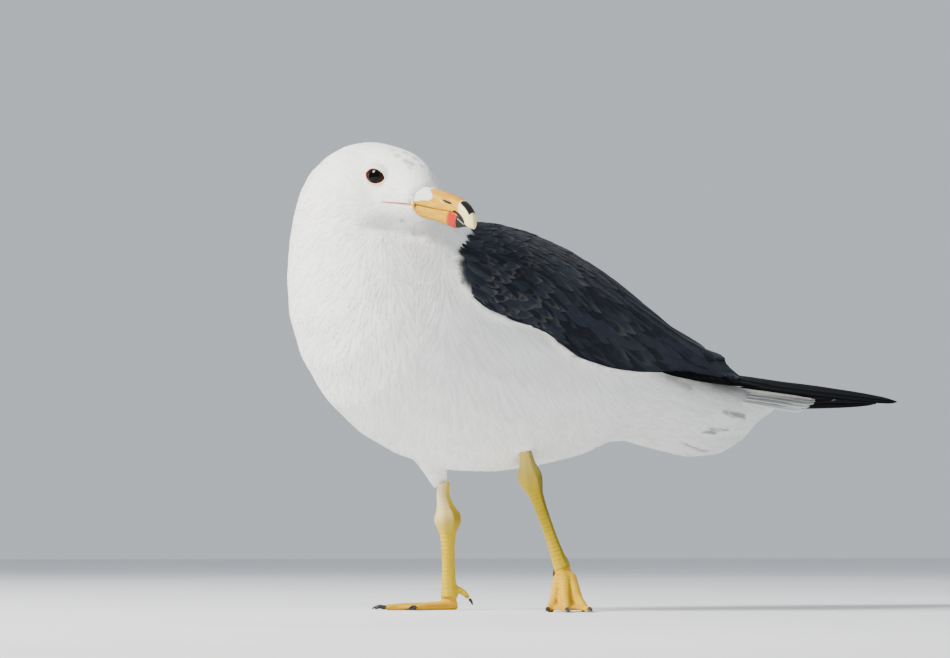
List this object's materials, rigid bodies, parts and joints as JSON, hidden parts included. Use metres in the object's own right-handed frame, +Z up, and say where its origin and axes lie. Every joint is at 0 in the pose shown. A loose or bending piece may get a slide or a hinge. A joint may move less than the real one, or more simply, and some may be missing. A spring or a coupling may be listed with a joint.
{
  "type": "standing gull",
  "caption": "Life-size standing gull with a white head and body, slate wings, black wing tips and its head turned to its left.",
  "frame": {"origin": "on the floor, under the middle of the bird's box", "axes": "+X the way the body faces, +Y the bird's left side, +Z up"},
  "size_m": [0.4592, 0.1786, 0.281],
  "materials": {
    "white_feather": "soft matt plumage",
    "slate_feather": "matt plumage with paler fringes",
    "black_feather": "slightly glossy feather",
    "leg_skin": "scaly, satin",
    "bill": "smooth horn, satin",
    "claw": "dark horn",
    "eye": "wet and glossy"
  },
  "bodies": {
    "root": {"bill_upper": "bill", "bill_lower": "bill", "eye_left": "eye", "eye_right": "eye", "wing_left": "slate_feather", "wingtip_left": "black_feather", "wing_right": "slate_feather", "wingtip_right": "black_feather", "tail": "white_feather", "head": "white_feather", "neck": "white_feather", "trunk": "white_feather", "thigh_left": "white_feather", "tibia_left": "leg_skin", "tarsus_left": "leg_skin", "foot_left": "leg_skin", "hind_toe_left": "leg_skin", "hind_claw_left": "claw", "claw_inner_left": "claw", "claw_middle_left": "claw", "claw_outer_left": "claw", "thigh_right": "white_feather", "tibia_right": "leg_skin", "tarsus_right": "leg_skin", "foot_right": "leg_skin", "hind_toe_right": "leg_skin", "hind_claw_right": "claw", "claw_inner_right": "claw", "claw_middle_right": "claw", "claw_outer_right": "claw"}
  },
  "joints": []
}
